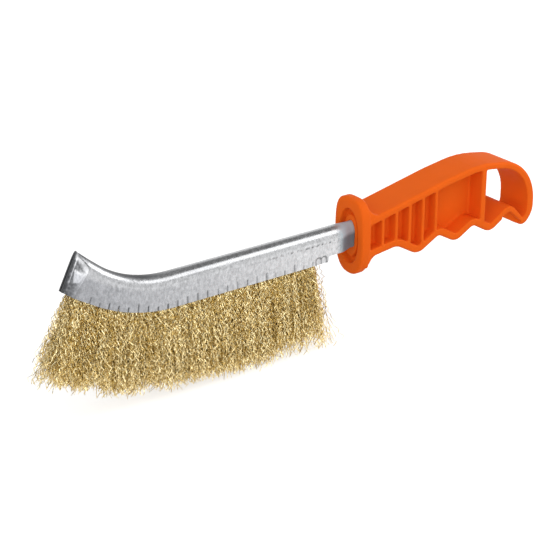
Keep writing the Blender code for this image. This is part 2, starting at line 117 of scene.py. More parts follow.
# Stake marks along the mouth edge, and the two punched dents by the neck.
STAKE_PITCH = 5.1 * MM
STAKE_WIDTH = 0.32 * MM
STAKE_DEPTH = 0.22 * MM
STAKE_HEIGHT = 3.0 * MM
STAKE_FADE = 0.6 * MM
STAKE_START = 2.0 * MM
STAKE_NOSE_MARGIN = 12.0 * MM
DENT_DISTANCES = (17.6 * MM, 20.6 * MM)
DENT_RADIUS = 1.5 * MM
DENT_HEIGHT = 3.4 * MM
DENT_DEPTH = 0.4 * MM
DENT_LINE = 0.3 * MM

# Shapes on the pinched end, in millimetres from the end and up from the mouth edge: a painted
# highlight on the bright facet, and painted shade at the fold and at the end.
HIGHLIGHT_FACET = ((2.0, 11.0), (5.7, 10.2), (4.4, 6.7), (2.8, 5.7))
FOLD_SHADE = ((1.2, 14.4), (2.7, 14.2), (6.1, 11.3), (2.1, 11.4))
END_SHADE = ((0.0, 7.5), (1.8, 6.0), (3.2, 3.2), (3.2, 0.0), (0.0, 0.0))

# Painted shade and painted highlights on the steel: how far each kind reaches, and how soft its rim
# is.
CLOUD_SCALE = 1200.0
PATCH_SCALE = 900.0
DARK_EDGE = 0.8 * MM
PINCH_SHADE_LENGTH = 6.0 * MM
PINCH_SHADE_DROP = 2.2 * MM
PINCH_SHADE_RIM = 1.5 * MM
END_RIM = 1.2 * MM
FOLD_RIM = 0.7 * MM
HIGHLIGHT_FACET_RIM = 0.4 * MM
TANG_SHADE_REACH = 11.0 * MM
TANG_SHADE_RIM = 6.0 * MM
CREST_HEIGHT = 1.4 * MM
CREST_START = -12.0 * MM
CREST_FADE = 30.0 * MM
SPRING_SHADE_DROP = 0.3 * MM
SPRING_SHADE_WIDTH = 0.35 * MM
SPRING_SHADE_REACH = 62.0 * MM
SPRING_SHADE_FADE = 30.0 * MM
CREASE_DISTANCE = 1.5 * MM
CREASE_WIDTH = 0.22 * MM
CREASE_START = 3.0 * MM

# Fill
FILL_START_RUN = 22.0 * MM - STRAIGHT_LENGTH
FILL_END_RUN = NOSE_RUN - 6.0 * MM
ROOT_LEVEL = 4.0 * MM
WIRE_LENGTH = 41.0 * MM
NOSE_WIRE_LENGTH = 38.0 * MM
WIRE_FADE = 43.0 * MM
WIRE_LEAN = 0.95
END_FLARE = math.radians(3.5)
END_FLARE_LENGTH = 14.0 * MM
FILL_LIMIT = 10.4 * MM
FILL_END = CAD_BOX[0].x - 7.0 * MM - CHANNEL_ORIGIN.x
THIN_LENGTH = 30.0 * MM
FLOOR_GAP = 0.2 * MM

# Scatter of the wires: the first value of a pair is along the brush, the second across it.
TIP_CUT = 7.0 * MM
THIN_TIP_CUT = 20.0 * MM
TIP_SPREAD = 0.6 * MM
TUFT_DEPTH = 6.0 * MM
TUFT_SCALES = (280.0, 200.0)
FAN_SCATTER = (1.3 * MM, 0.6 * MM)
STRAY = (1.1 * MM, 0.8 * MM)
DRIFT = (0.4 * MM, 0.2 * MM)
LOOSE_WIRES = 44
LOOSE_REACH_NECK = 9.0 * MM
LOOSE_REACH_NOSE = -4.6 * MM

# Handle: distances run from the guard's face, heights from the channel's crown.
HANDLE_HALF_WIDTH = 9.8 * MM
TOP_WALL = 3.1 * MM
LOOP_WALL = 4.3 * MM
GRIP_WALL = 3.7 * MM
ARC_STEP = math.radians(5.0)
GUARD_THICKNESS = 5.2 * MM
GUARD_HEIGHT = 37.0 * MM
GUARD_CENTRE = -7.3 * MM
GUARD_SQUARENESS = 3.4
GUARD_LOWER_SQUARENESS = 2.5
GUARD_ROUND = 0.6 * MM
GUARD_DOME = 2.2 * MM
GUARD_BACK = 1.2 * MM
GUARD_PROUD = 0.25 * MM
GUARD_SIDES = 96
GUARD_FACE_STEPS = 8
GUARD_BACK_STEPS = 4
RECESS_SQUARENESS = 2.2
GUSSET_RADIUS = 6.0 * MM
GUSSET_STEPS = 12
GUSSET_SINK = 0.4 * MM
GUSSET_INSET = 0.3 * MM
LOWER_GUSSET = -15.6 * MM
UPPER_GUSSET = 3.4 * MM
FIRST_POCKET = 5.4 * MM
RIB_COUNT = 5
RIB_PITCH = 7.95 * MM
RIB_THICKNESS = 1.4 * MM
SLEEVE_WALL = 1.3 * MM
WEB_THICKNESS = 1.8 * MM
POST_DISTANCE = 72.5 * MM
POST_THICKNESS = 2.8 * MM
GRIP_CORNERS = [
    (21.5 * MM, -14.5 * MM, 8.0 * MM),
    (34.3 * MM, -21.9 * MM, 7.0 * MM),
    (46.9 * MM, -15.1 * MM, 3.5 * MM),
    (57.7 * MM, -21.2 * MM, 6.0 * MM),
    (68.5 * MM, -15.2 * MM, 3.5 * MM),
    (79.5 * MM, -21.6 * MM, 6.0 * MM),
    (88.5 * MM, -16.1 * MM, 3.5 * MM),
    (101.9 * MM, -23.9 * MM, 4.5 * MM),
]
LOOP_CORNERS = [
    (HANDLE_LENGTH, -16.8 * MM, 10.0 * MM),
    (HANDLE_LENGTH, 9.2 * MM, 24.0 * MM),
]
TOP_CORNERS = [
    (72.0 * MM, 15.2 * MM, 55.0 * MM),
    (51.0 * MM, 11.9 * MM, 60.0 * MM),
]
INNER_RISE = 7
INNER_RISE_SHIFT = Vector((3.3 * MM, 2.6 * MM))
INNER_RISE_RADIUS = 5.5 * MM
TOOTH_CORNERS = [
    (87.0 * MM, -18.0 * MM, 0.0),
    (87.0 * MM, -15.4 * MM, 0.8 * MM),
    (91.6 * MM, -13.2 * MM, 2.6 * MM),
    (99.8 * MM, -20.6 * MM, 1.5 * MM),
    (98.6 * MM, -25.0 * MM, 0.0),
]
TOOTH_DEPTH = 3.0 * MM
GRIP_START = -16.8 * MM
TOP_START = 2.0 * MM
BODY_START = 3.0 * MM
CUT_MARGIN = 1.0 * MM
SOCKET_START = 0.5 * MM
SOCKET_END = 40.0 * MM
SOCKET_CLEARANCE = 0.1 * MM
THINNING = 0.7

# Ovals round the channel where it enters the guard: distance, width and height in millimetres.
RECESS = ((-1.0, 13.6, 26.8), (0.0, 13.6, 26.8), (3.0, 12.8, 26.0))
COLLAR = ((1.1, 8.8, 19.8), (1.5, 9.6, 20.6), (3.4, 9.6, 20.6))

# Lamps: name, turn and rise in degrees as direction() takes them, width of the disk in metres.
LAMPS = (
    ("key", 52.0, 48.0, 0.8),
    ("front", -38.0, 22.0, 1.8),
    ("end", 86.0, 19.0, 0.7),
)


def smooth(share):
    share = min(max(share, 0.0), 1.0)
    return share * share * (3.0 - 2.0 * share)


def ramp(share):
    return min(max(share, 0.0), 1.0)


def mix(start, end, share):
    return start + (end - start) * share


# ---------------------------------------------------------------- settings
class HandleSettings(bpy.types.PropertyGroup):
    colour: FloatVectorProperty(
        name="Plastic", description="Colour of the moulded plastic", subtype="COLOR",
        size=3, min=0.0, max=1.0, default=(0.82, 0.126, 0.010),
    )
    edge: FloatProperty(
        name="Rim rounding", description="Radius of the handle's outer rim", subtype="DISTANCE",
        unit="LENGTH", min=0.2 * MM, max=2.0 * MM, default=1.1 * MM,
    )
    grain: FloatProperty(
        name="Mesh grain", description="Size of the faces of the moulded skin",
        subtype="DISTANCE", unit="LENGTH", min=0.3 * MM, max=1.0 * MM, default=0.4 * MM,
    )
    softening: IntProperty(
        name="Softening", description="Passes that round the moulded edges",
        min=0, max=30, default=3,
    )


class ChannelSettings(bpy.types.PropertyGroup):
    colour: FloatVectorProperty(
        name="Steel", description="Colour of the galvanised steel", subtype="COLOR",
        size=3, min=0.0, max=1.0, default=(0.60, 0.605, 0.615),
    )
    station: FloatProperty(
        name="Station", description="Spacing of the sections along the channel",
        subtype="DISTANCE", unit="LENGTH", min=0.2 * MM, max=2.0 * MM, default=0.5 * MM,
    )


class FillSettings(bpy.types.PropertyGroup):
    colour: FloatVectorProperty(
        name="Brass", description="Colour of the plated wire", subtype="COLOR",
        size=3, min=0.0, max=1.0, default=(1.0, 0.86, 0.50),
    )
    wires: IntProperty(
        name="Wires", description="Wires in each bundle", min=30, max=1000, default=720,
    )
    radius: FloatProperty(
        name="Wire radius", description="Radius of one wire", subtype="DISTANCE",
        unit="LENGTH", min=0.05 * MM, max=0.5 * MM, default=0.16 * MM,
    )
    fan: FloatProperty(
        name="Fan", description="Half the spread of the tips", subtype="DISTANCE",
        unit="LENGTH", min=5.0 * MM, max=12.0 * MM, default=8.4 * MM,
    )
    crimp: FloatProperty(
        name="Crimp", description="How far the crimps stand out", subtype="DISTANCE",
        unit="LENGTH", min=0.0, max=1.5 * MM, default=0.9 * MM,
    )
    bends: IntProperty(
        name="Bends", description="Crimps along one wire", min=4, max=24, default=22,
    )


class StageSettings(bpy.types.PropertyGroup):
    floor: FloatVectorProperty(
        name="Floor", description="Colour of the floor", subtype="COLOR",
        size=3, min=0.0, max=1.0, default=(0.62, 0.62, 0.62),
    )
    key_power: FloatProperty(
        name="Key light", description="Power of the raised lamp off the handle's near side",
        unit="POWER", min=0.0, max=200.0, default=2.9,
    )
    front_power: FloatProperty(
        name="Front light", description="Power of the low lamp in front of the near side",
        unit="POWER", min=0.0, max=200.0, default=9.2,
    )
    end_power: FloatProperty(
        name="End light", description="Power of the low lamp beyond the handle's loop",
        unit="POWER", min=0.0, max=200.0, default=4.0,
    )
    lens: FloatProperty(
        name="Lens", description="Focal length of the camera in millimetres",
        min=20.0, max=300.0, default=104.8,
    )


# ---------------------------------------------------------------- materials
class Value:
    """A socket's value, so that sums written on it add Math nodes."""

    def __init__(self, finish, socket):
        self.finish = finish
        self.socket = socket

    def math(self, operation, first, second):
        return self.finish.node("ShaderNodeMath", {"operation": operation}, {0: first, 1: second})

    def __add__(self, other):
        return self.math("ADD", self, other)

    def __sub__(self, other):
        return self.math("SUBTRACT", self, other)

    def __mul__(self, other):
        return self.math("MULTIPLY", self, other)

    def __rsub__(self, other):
        return self.math("SUBTRACT", other, self)

    __radd__ = __add__
    __rmul__ = __mul__


class Finish:
    """A material, or the sky, whose nodes are added one call at a time."""

    def __init__(self, name, blocks=None, shader="Principled BSDF", **constants):
        self.block = (bpy.data.materials if blocks is None else blocks).new(name)
        self.block.use_nodes = True
        self.nodes = self.block.node_tree.nodes
        self.links = self.block.node_tree.links
        self.shader = self.nodes[shader]
        for socket, value in constants.items():
            self.shader.inputs[socket.replace("_", " ")].default_value = value

    def connect(self, socket, value):
        if isinstance(value, Value):
            self.links.new(value.socket, socket)
        else:
            socket.default_value = value

    def node(self, kind, settings=None, sockets=None, output=0):
        made = self.nodes.new(kind)
        for name, value in (settings or {}).items():
            setattr(made, name, value)
        for name, value in (sockets or {}).items():
            self.connect(made.inputs[name], value)
        return Value(self, made.outputs[output])

    def feed(self, **sockets):
        for name, value in sockets.items():
            self.connect(self.shader.inputs[name.replace("_", " ")], value)

    def place(self, stretch=(1.0, 1.0, 1.0)):
        """The piece's own coordinates, stretched."""
        spot = self.node("ShaderNodeTexCoord", output="Object")
        return self.node("ShaderNodeMapping", sockets={"Vector": spot, "Scale": stretch})

    def noise(self, scale, detail=3.0, roughness=0.55, stretch=(1.0, 1.0, 1.0)):
        sockets = {
            "Vector": self.place(stretch),
            "Scale": scale,
            "Detail": detail,
            "Roughness": roughness,
        }
        return self.node("ShaderNodeTexNoise", sockets=sockets)

    def spread(self, value, low, high, start=0.0, end=1.0):
        """Map what lies from low to high onto start to end, and clip it."""
        sockets = {
            "Value": value,
            "From Min": low,
            "From Max": high,
            "To Min": start,
            "To Max": end,
        }
        return self.node("ShaderNodeMapRange", {"clamp": True}, sockets)

    def blend(self, share, first, second, blend_type="MIX"):
        settings = {"data_type": "RGBA", "blend_type": blend_type}
        sockets = {"Factor": share, 6: first, 7: second}
        return self.node("ShaderNodeMix", settings, sockets, output=2)

    def attribute(self, name):
        return self.node("ShaderNodeAttribute", {"attribute_name": name}, output="Fac")

    def bump(self, height, strength, distance):
        sockets = {"Height": height, "Strength": strength, "Distance": distance}
        return self.node("ShaderNodeBump", sockets=sockets)


def shade(colour, factor):
    return (*(channel * factor for channel in colour), 1.0)


def plastic_finish(colour):
    finish = Finish("orange_plastic", IOR=1.2, Subsurface_Weight=0.04, Specular_IOR_Level=0.12)
    finish.shader.inputs["Subsurface Radius"].default_value = (1.0, 0.35, 0.1)
    finish.shader.inputs["Subsurface Scale"].default_value = 1.5 * MM
    clouds = finish.noise(55.0, 2.0)
    grain = finish.noise(900.0, 2.0)
    tint = finish.blend(finish.spread(clouds, 0.3, 0.7), shade(colour, 0.94), shade(colour, 1.0))
    rough = finish.spread(clouds, 0.3, 0.7, 0.42, 0.50)
    finish.feed(Base_Color=tint, Roughness=rough + grain * 0.04)
    finish.feed(Normal=finish.bump(grain, 0.12, 0.05 * MM))
    return finish.block


def steel_finish(colour):
    finish = Finish("galvanised_steel")
    # The attribute read here holds painted light: above 0 is painted shade, below 0 is a painted
    # highlight.
    wear = finish.attribute("wear")
    level = finish.attribute("level")
    run = finish.attribute("run")
    mottle = finish.noise(700.0, 3.0, 0.65)
    flecks = finish.noise(1500.0, 2.0, 0.5, (1.0, 1.0, 0.4))
    broad = finish.noise(60.0, 2.0)
    wall = finish.spread(level, 9.0 * MM, 11.0 * MM, 1.0, 0.12)
    light = finish.spread(mottle * 0.55 + flecks * 0.45, 0.38, 0.62)
    tint = finish.blend(light, shade(colour, 0.74), shade(colour, 1.2))
    tint = finish.blend(finish.spread(broad, 0.35, 0.65) * 0.35, tint, shade(colour, 0.88))
    # The steel is darkened towards the nose, more on the walls than on the crown.
    nose_darkening = finish.spread(run, -70.0 * MM, 40.0 * MM) * (wall * 0.7 + 0.3)
    tint = finish.blend(nose_darkening, tint, (0.6, 0.605, 0.625, 1.0), "MULTIPLY")
    # Colour of the painted shade: by the guard a lit pale grey-blue on the crown and a shaded dark
    # grey-blue on the walls, elsewhere near black.
    cool = finish.spread(run, -STRAIGHT_LENGTH + 16.0 * MM, -STRAIGHT_LENGTH + 6.0 * MM)
    tang_shade = finish.blend(wall, (0.46, 0.60, 0.68, 1.0), (0.13, 0.22, 0.27, 1.0))
    shade_colour = finish.blend(cool, (0.02, 0.022, 0.026, 1.0), tang_shade)
    tint = finish.blend(wear, tint, shade_colour)
    # Painted highlight where the attribute is below 0: the bright facet and the line along the fold
    # at the nose.
    tint = finish.blend(0 - wear, tint, (0.92, 0.93, 0.94, 1.0))
    rough = finish.spread(mottle, 0.35, 0.65, 0.2, 0.3) + wear * 0.15
    metal = finish.spread(wear, 0.0, 1.0, 1.0, 0.1)
    finish.feed(Base_Color=tint, Roughness=rough, Metallic=metal)
    finish.feed(Normal=finish.bump((mottle * 0.5 + flecks * 0.5) * (wall - wear), 0.3, 0.08 * MM))
    return finish.block


def brass_finish(colour):
    finish = Finish("brass_plated_wire", Metallic=1.0)
    tone = finish.attribute("tone")
    # Noise that paints glints and shade along each wire: short bright strokes and dark gaps.
    glint_noise = finish.noise(900.0, 1.0)
    along = finish.spread(glint_noise, 0.37, 0.54)
    # The dark colour is painted shade between the wires; a fifth of the mix is each wire's random
    # tone.
    tint = finish.blend(along * 0.8 + tone * 0.2, (0.56, 0.405, 0.155, 1.0), shade(colour, 1.0))
    finish.feed(Base_Color=tint, Roughness=finish.spread(along, 0.0, 1.0, 0.36, 0.24))
    finish.feed(Normal=finish.bump(glint_noise, 0.8, 0.35 * MM))
    return finish.block


def core_finish():
    finish = Finish("core_steel", Metallic=1.0)
    drawn = finish.noise(900.0, 2.0, 0.5, (0.1, 1.0, 1.0))
    finish.feed(Base_Color=finish.blend(drawn, (0.3, 0.3, 0.31, 1.0), (0.45, 0.45, 0.46, 1.0)))
    finish.feed(Roughness=finish.spread(drawn, 0.3, 0.7, 0.4, 0.5))
    return finish.block


# ---------------------------------------------------------------- mesh helpers
def sew(bm, edges, order, ring):
    """Extrude a loop of edges onto the points of the next ring, and return the new edges."""
    made = bmesh.ops.extrude_edge_only(bm, edges=edges)["geom"]
    verts = {item for item in made if isinstance(item, bmesh.types.BMVert)}
    for vert in verts:
        vert.co = ring[vert[order]]
    onward = []
    for item in made:
        if isinstance(item, bmesh.types.BMEdge) and set(item.verts) <= verts:
            onward.append(item)
    return onward


def loft(rings):
    """Closed bar drawn through rings of points, one ring after the other."""
    bm = bmesh.new()
    order = bm.verts.layers.int.new("place")
    verts = [bm.verts.new(point) for point in rings[0]]
    for index, vert in enumerate(verts):
        vert[order] = index
    edges = [bm.edges.new(pair) for pair in zip(verts, verts[1:] + verts[:1])]
    first = list(edges)
    for ring in rings[1:]:
        edges = sew(bm, edges, order, ring)
    bmesh.ops.contextual_create(bm, geom=first)
    bmesh.ops.contextual_create(bm, geom=edges)
    bmesh.ops.recalc_face_normals(bm, faces=bm.faces[:])
    return bm


def prism(outline, half_width, edge=0.0):
    """Solid between two sides at plus and minus a half width, with rounded rims."""
    near = [Vector((x, -half_width, z)) for x, z in outline]
    far = [Vector((x, half_width, z)) for x, z in outline]
    bm = loft([near, far])
    if edge:
        rim = [e for e in bm.edges if abs(e.verts[0].co.y - e.verts[1].co.y) < half_width]
        bmesh.ops.bevel(
            bm, geom=rim, offset=edge, segments=4, affect="EDGES", profile=0.5, material=-1
        )
    return bm


def add_object(name, bm, sharp=None):
    """Object from a bmesh: smooth, or flat where sharp is 0, or with edges sharp past an angle."""
    mesh = bpy.data.meshes.new(name)
    bm.to_mesh(mesh)
    bm.free()
    if sharp != 0.0:
        mesh.shade_smooth()
    if sharp:
        mesh.set_sharp_from_angle(angle=sharp)
    made = bpy.data.objects.new(name, mesh)
    bpy.context.scene.collection.objects.link(made)
    return made


def settle(piece):
    """Apply a piece's modifiers, and take away the tools that they used."""
    tools = [m.object for m in piece.modifiers if m.type == "BOOLEAN"]
    graph = bpy.context.evaluated_depsgraph_get()
    done = bpy.data.meshes.new_from_object(piece.evaluated_get(graph))
    done.name = piece.name
    piece.modifiers.clear()
    piece.data = done
    for tool in tools:
        bpy.data.objects.remove(tool)


def dress(piece, finish, slot, *nodes):
    piece.data.materials.clear()
    piece.data.materials.append(finish)
    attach(piece, BODY)
    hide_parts(*nodes)


def filleted(corners):
    """Outline through corners of (distance, height, radius), rounded where it has one."""
    points = []
    for index, (x, z, radius) in enumerate(corners):
        corner = Vector((x, z))
        if radius == 0.0:
            points.append(corner)
            continue
        before = (Vector(corners[index - 1][:2]) - corner).normalized()
        after = (Vector(corners[(index + 1) % len(corners)][:2]) - corner).normalized()
        opening = before.angle(after)
        middle = corner + (before + after).normalized() * radius / math.sin(opening / 2)
        start = corner + before * radius / math.tan(opening / 2) - middle
        end = corner + after * radius / math.tan(opening / 2) - middle
        sweep = math.atan2(start.cross(end), start.dot(end))
        steps = max(2, math.ceil(abs(sweep) / ARC_STEP))
        for step in range(steps + 1):
            points.append(middle + Matrix.Rotation(sweep * step / steps, 2) @ start)
    return points


def between(outline, low, high):
    """Part of an outline whose distance lies between two cuts square to X."""
    for limit, sign in ((low, 1.0), (high, -1.0)):
        kept = []
        for start, end in zip(outline, outline[1:] + outline[:1]):
            start_side = sign * (start.x - limit)
            end_side = sign * (end.x - limit)
            if start_side >= 0.0:
                kept.append(start)
            if start_side * end_side < 0.0:
                kept.append(start.lerp(end, start_side / (start_side - end_side)))
        outline = kept
    return outline


# ---------------------------------------------------------------- handle
def inset_corners(corners, walls):
    """Corners of the line that runs a wall's thickness inside an outline."""
    lines = []
    for (x, z, _), (next_x, next_z, _), wall in zip(corners, corners[1:], walls):
        along = Vector((next_x - x, next_z - z)).normalized()
        lines.append((Vector((x, z)) + Vector((-along.y, along.x)) * wall, along))
    moved = [(*lines[0][0], 0.0)]
    for index, ((first, along), (second, onward)) in enumerate(zip(lines, lines[1:])):
        turn = along.cross(onward)
        point = first + along * ((second - first).cross(onward) / turn)
        wall = (walls[index] + walls[index + 1]) / 2
        moved.append((*point, corners[index + 1][2] - math.copysign(wall, turn)))
    last, along = lines[-1]
    end = Vector(corners[-1][:2]) - last
    moved.append((*(last + along * end.dot(along)), 0.0))
    return moved


def body_corners():
    start = [(BODY_START, GRIP_START, 0.0)]
    end = [(BODY_START, TOP_START, 0.0)]
    return start + GRIP_CORNERS + LOOP_CORNERS + TOP_CORNERS + end


def hollow_outline():
    walls = [GRIP_WALL] * (len(GRIP_CORNERS) + 1) + [LOOP_WALL] + [TOP_WALL] * 3
    corners = inset_corners(body_corners(), walls)
    x, z, _ = corners[INNER_RISE]
    corners[INNER_RISE] = (x + INNER_RISE_SHIFT.x, z + INNER_RISE_SHIFT.y, INNER_RISE_RADIUS)
    return filleted(corners)


def oval_ring(distance, width, height, squareness, lower=None):
    """Oval round the guard's centre. Squareness 2 is an ellipse, and more is fuller."""
    points = []
    for step in range(GUARD_SIDES):
        angle = 2.0 * math.pi * step / GUARD_SIDES
        power = 2.0 / (squareness if angle < math.pi or lower is None else lower)
        across = math.copysign(abs(math.cos(angle)) ** power, math.cos(angle)) * width / 2
        level = math.copysign(abs(math.sin(angle)) ** power, math.sin(angle)) * height / 2
        points.append(Vector((distance, across, GUARD_CENTRE + level)))
    return points


def guard_half_width(level):
    share = abs(level - GUARD_CENTRE) / (GUARD_HEIGHT / 2)
    return (1.0 - share**GUARD_SQUARENESS) ** (1.0 / GUARD_SQUARENESS) * GUARD_HALF_WIDTH


def make_guard():
    """Oval flange, its face domed towards the rim."""
    rings = []
    for step in range(GUARD_FACE_STEPS + 1):
        angle = math.pi / 2 * step / GUARD_FACE_STEPS
        drawn = GUARD_DOME * (1.0 - math.sin(angle))
        rings.append((GUARD_ROUND * (1.0 - math.cos(angle)), drawn))
    for step in range(GUARD_BACK_STEPS + 1):
        angle = math.pi / 2 * step / GUARD_BACK_STEPS
        distance = GUARD_THICKNESS - GUARD_BACK * (1.0 - math.sin(angle))
        rings.append((distance, GUARD_BACK * (1.0 - math.cos(angle))))
    ovals = []
    for distance, drawn in rings:
        width = 2 * (GUARD_HALF_WIDTH + GUARD_PROUD - drawn)
        height = GUARD_HEIGHT - 2 * drawn
        ovals.append(oval_ring(distance, width, height, GUARD_SQUARENESS, GUARD_LOWER_SQUARENESS))
    return loft(ovals)


def make_gusset(level, upward):
    """Curved web that carries the grip's top or underside into the back of the guard."""
    rings = []
    for step in range(GUSSET_STEPS + 1):
        angle = math.pi / 2 * step / GUSSET_STEPS
        reach = GUARD_THICKNESS - GUSSET_SINK + GUSSET_RADIUS * (1.0 - math.cos(angle))
        height = level + upward * GUSSET_RADIUS * (1.0 - math.sin(angle))
        half = min(guard_half_width(height), HANDLE_HALF_WIDTH) - GUSSET_INSET
        rings.append([
            Vector((BODY_START, -half, height)),
            Vector((reach, -half, height)),
            Vector((reach, half, height)),
            Vector((BODY_START, half, height)),
        ])
    inside = Vector((0.0, 0.0, -upward * TOP_WALL / 2))
    rings.append([point + inside for point in rings[-1]])
    return loft(rings)


def pocket_cuts():
    """Start, end and inner face of every hollow that opens on a side of the handle."""
    sleeve_half = TANG_WIDTH / 2 + SLEEVE_WALL
    cuts = []
    start = FIRST_POCKET
    for rib in range(RIB_COUNT):
        end = FIRST_POCKET + RIB_PITCH * (rib + 1) - RIB_THICKNESS
        cuts.append((start, end, sleeve_half))
        start = end + RIB_THICKNESS
    cuts.append((start, POST_DISTANCE, WEB_THICKNESS / 2))
    return cuts


def make_pocket(outline, inner, sign):
    """Cutter for a hollow, from its inner face out through one side."""
    rings = []
    for across in (inner, HANDLE_HALF_WIDTH + CUT_MARGIN):
        rings.append([Vector((point.x, sign * across, point.y)) for point in outline])
    return loft(rings)


def make_socket():
    """Slot for the tang, a little wider than it."""
    rings = []
    foot = WALL_STEP_HEIGHT - SOCKET_CLEARANCE
    drop = Vector((0.0, 0.0, CHANNEL_ORIGIN.z - HANDLE_ORIGIN.z))
    for distance in (SOCKET_START, SOCKET_END):
        section = arch(-STRAIGHT_LENGTH - distance, -SOCKET_CLEARANCE, foot)
        rings.append([Vector((distance, point.y, point.z)) + drop for point in section])
    return loft(rings)


def make_handle(settings):
    body = prism(filleted(body_corners()), HANDLE_HALF_WIDTH, settings.edge)
    handle = add_object("moulded_handle", body)
    steps = [
        (make_guard(), "UNION"),
        (make_gusset(LOWER_GUSSET, -1.0), "UNION"),
        (make_gusset(UPPER_GUSSET, 1.0), "UNION"),
    ]
    for start, end, inner in pocket_cuts():
        outline = between(hollow_outline(), start, end)
        steps.append((make_pocket(outline, inner, -1.0), "DIFFERENCE"))
        steps.append((make_pocket(outline, inner, 1.0), "DIFFERENCE"))
    for sign in (-1.0, 1.0):
        tooth = make_pocket(filleted(TOOTH_CORNERS), HANDLE_HALF_WIDTH - TOOTH_DEPTH, sign)
        steps.append((tooth, "DIFFERENCE"))
    hole = between(hollow_outline(), POST_DISTANCE + POST_THICKNESS, HANDLE_LENGTH)
    steps.append((prism(hole, HANDLE_HALF_WIDTH + CUT_MARGIN), "DIFFERENCE"))
    for ovals, operation in ((RECESS, "DIFFERENCE"), (COLLAR, "UNION")):
        rings = []
        for distance, width, height in ovals:
            rings.append(oval_ring(distance * MM, width * MM, height * MM, RECESS_SQUARENESS))
        steps.append((loft(rings), operation))
    steps.append((make_socket(), "DIFFERENCE"))
    for bm, operation in steps:
        modifier = handle.modifiers.new(operation, "BOOLEAN")
        modifier.operation = operation
        modifier.solver = "EXACT"
        modifier.object = add_object("tool", bm)
    skin = handle.modifiers.new("skin", "REMESH")
    skin.mode = "VOXEL"
    skin.voxel_size = settings.grain
    soft = handle.modifiers.new("soft", "SMOOTH")
    soft.iterations = settings.softening
    thinned = handle.modifiers.new("thinned", "DECIMATE")
    thinned.ratio = THINNING
    settle(handle)
    handle.data.transform(Matrix.Translation(HANDLE_ORIGIN))
    handle.data.shade_smooth()
    dress(handle, plastic_finish(settings.colour), "orange_plastic", "handle")


# ---------------------------------------------------------------- channel
def tilt_at(run):
    """Lean of the section towards the nose."""
    return NOSE_TILT * ramp(run / NOSE_RUN)


def mouth_at(run):
    """Point on the mouth's middle line, from the start of the nose bend."""
    if run <= 0.0:
        return Vector((-run, 0.0, 0.0))
    angle = min(run / NOSE_RADIUS, NOSE_BEND)
    beyond = run - NOSE_RADIUS * angle
    reach = NOSE_RADIUS * math.sin(angle) + beyond * math.cos(angle)
    rise = NOSE_RADIUS * (1.0 - math.cos(angle)) + beyond * math.sin(angle)
    return Vector((-reach, 0.0, rise))


def height_at(run):
    return CHANNEL_HEIGHT + PINCH_RISE * max(run / NOSE_RUN, 0.0) ** 3


def up_at(run):
    """Direction from the mouth edge up the section's walls."""
    tilt = tilt_at(run)
    return Vector((math.sin(tilt), 0.0, math.cos(tilt)))


def place(run, across, level):
    """Point of the section at a run, across the brush and up from the mouth edge."""
    return mouth_at(run) + up_at(run) * level + Vector((0.0, across, 0.0))


def half_width(run, level):
    """Outer half width of the section at a level: the neck and the pinched end narrow it."""
    spring_level = height_at(run) - SPRING
    share = ramp(level / spring_level)
    neck = smooth((NECK_LENGTH - STRAIGHT_LENGTH - run) / NECK_LENGTH)
    plain = mix(CHANNEL_WIDTH, mix(TANG_MOUTH_WIDTH, TANG_WIDTH, share), neck) / 2
    length = mix(PINCH_MOUTH_LENGTH, PINCH_CROWN_LENGTH, smooth(level / PINCH_CROWN_LEVEL))
    pinch = ramp((run - NOSE_RUN + length) / (length - PINCH_FLAT))
    return mix(plain, PINCH_THICKNESS / 2, mix(pinch, smooth(pinch), 0.5))


def arch(run, inset, foot):
    """Section line from one foot over the crown to the other, inset from the outer face."""
    spring_level = height_at(run) - SPRING
    near = []
    for step in range(WALL_STEPS):
        level = mix(foot, spring_level, step / WALL_STEPS)
        near.append((inset - half_width(run, level), level))
    crown = []
    half = half_width(run, spring_level) - inset
    for step in range(CROWN_STEPS + 1):
        angle = math.pi * step / CROWN_STEPS
        level = spring_level + math.sin(angle) * (SPRING - inset)
        crown.append((-math.cos(angle) * half, level))
    far = [(-across, level) for across, level in reversed(near)]
    return [place(run, across, level) for across, level in near + crown + far]


def wall_foot(run):
    rise = (WALL_STEP_DISTANCE - STRAIGHT_LENGTH - run) / WALL_STEP_LENGTH
    return WALL_STEP_HEIGHT * smooth(rise)


def channel_stations(station):
    """Runs of the sections: the tang's end, then evenly spaced, and twice as close at the nose."""
    runs = [-STRAIGHT_LENGTH - TANG_DEPTH]
    start = -STRAIGHT_LENGTH - STATIONS_START
    count = round((NOSE_RUN - FINE_LENGTH - start) / station)
    for step in range(count + 1):
        runs.append(mix(start, NOSE_RUN - FINE_LENGTH, step / count))
    fine = round(FINE_LENGTH / (station / 2))
    for step in range(1, fine + 1):
        runs.append(NOSE_RUN - FINE_LENGTH * (1.0 - step / fine))
    return runs


def stake_marks(chance):
    """Run, height and depth of every stake mark along the mouth edge."""
    marks = []
    run = FILL_START_RUN + STAKE_START
    while run < NOSE_RUN - STAKE_NOSE_MARGIN:
        height = STAKE_HEIGHT * chance.uniform(0.7, 1.3)
        deeper = mix(1.0, 1.5, ramp(1.0 + run / WIRE_FADE))
        marks.append((run, height, chance.uniform(0.6, 1.2) * deeper))
        run += STAKE_PITCH * chance.uniform(0.94, 1.06)
    return marks


